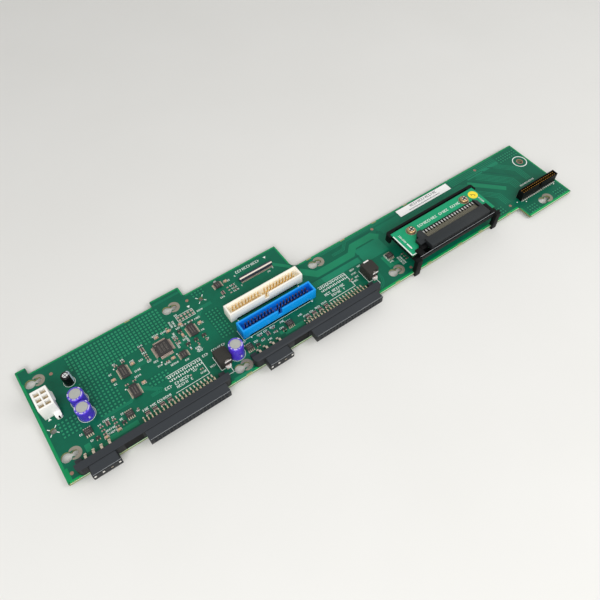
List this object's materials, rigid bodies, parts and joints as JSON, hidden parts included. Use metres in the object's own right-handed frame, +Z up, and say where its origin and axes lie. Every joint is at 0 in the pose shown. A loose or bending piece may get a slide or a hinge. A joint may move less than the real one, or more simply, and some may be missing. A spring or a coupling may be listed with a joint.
{
  "type": "drive power backplane board",
  "caption": "Long stepped circuit board with drive connectors along its front edge, shrouded ribbon headers, a power inlet, capacitors and a raised connector board; hangs on keyholes.",
  "frame": {"origin": "under the middle of the board's outline, at the level of the soldered pins' tips", "axes": "+X along the board from the power inlet to the panel header, +Y from the drive edge to the rear, +Z up from the component face"},
  "size_m": [0.4132, 0.0984, 0.0198],
  "materials": {
    "board_mask": "green solder mask with copper and white print under a clear gloss",
    "piggyback_mask": "lighter green solder mask with white print",
    "black_plastic": "satin moulded black",
    "header_blue": "satin moulded blue",
    "header_cream": "satin moulded cream",
    "inlet_white": "satin moulded white",
    "bar_cream": "satin moulded cream",
    "gold_pins": "gold flashed",
    "tinned_leads": "tinned, slightly warm",
    "bright_contacts": "bright tin",
    "zinc_screws": "yellow zinc",
    "purple_sleeve": "glossy purple film",
    "black_sleeve": "glossy black film with a pale stripe",
    "capacitor_can": "bare aluminium",
    "choke_core": "matt ferrite, dark brown",
    "chip_plastic": "matt black moulding",
    "resistor_body": "glazed black with tinned ends",
    "ceramic_body": "tan ceramic with tinned ends",
    "label_white": "printed paper",
    "sticker_yellow": "yellow paper dot"
  },
  "bodies": {
    "root": {"circuit_board": "board_mask", "piggyback_board": "piggyback_mask", "blue_header_shroud": "header_blue", "cream_header_shroud": "header_cream", "blue_header_pins": "gold_pins", "cream_header_pins": "gold_pins", "power_inlet_housing": "inlet_white", "power_inlet_pins": "bright_contacts", "floppy_connector_housing": "black_plastic", "floppy_connector_bar": "bar_cream", "floppy_connector_leads": "tinned_leads", "panel_header_shroud": "black_plastic", "panel_header_pins": "gold_pins", "piggyback_bracket": "black_plastic", "piggyback_screws": "zinc_screws", "optical_connector_housing": "black_plastic", "optical_connector_contacts": "tinned_leads", "stacking_socket": "black_plastic", "stacking_plug": "black_plastic", "stacking_pins": "gold_pins", "round_sticker": "sticker_yellow", "inlet_capacitor_cans": "capacitor_can", "inlet_capacitor_sleeves": "purple_sleeve", "inlet_capacitor_leads": "tinned_leads", "bay_capacitor_cans": "capacitor_can", "bay_capacitor_sleeves": "purple_sleeve", "bay_capacitor_leads": "tinned_leads", "small_capacitor_cans": "capacitor_can", "small_capacitor_sleeves": "black_sleeve", "small_capacitor_leads": "tinned_leads", "filter_choke_cores": "choke_core", "filter_choke_terminals": "bright_contacts", "controller_chip": "chip_plastic", "controller_chip_leads": "tinned_leads", "buffer_chips": "chip_plastic", "buffer_chip_leads": "tinned_leads", "switch_chips": "chip_plastic", "switch_chip_leads": "tinned_leads", "logic_chips": "chip_plastic", "logic_chip_leads": "tinned_leads", "transistors": "chip_plastic", "transistor_leads": "tinned_leads", "resistor_packs": "resistor_body", "chip_resistors": "resistor_body", "ceramic_capacitors": "ceramic_body", "asset_label": "label_white", "drive_0_connector_housing": "black_plastic", "drive_0_signal_contacts": "tinned_leads", "drive_0_power_contacts": "bright_contacts", "drive_1_connector_housing": "black_plastic", "drive_1_signal_contacts": "tinned_leads", "drive_1_power_contacts": "bright_contacts"}
  },
  "joints": []
}
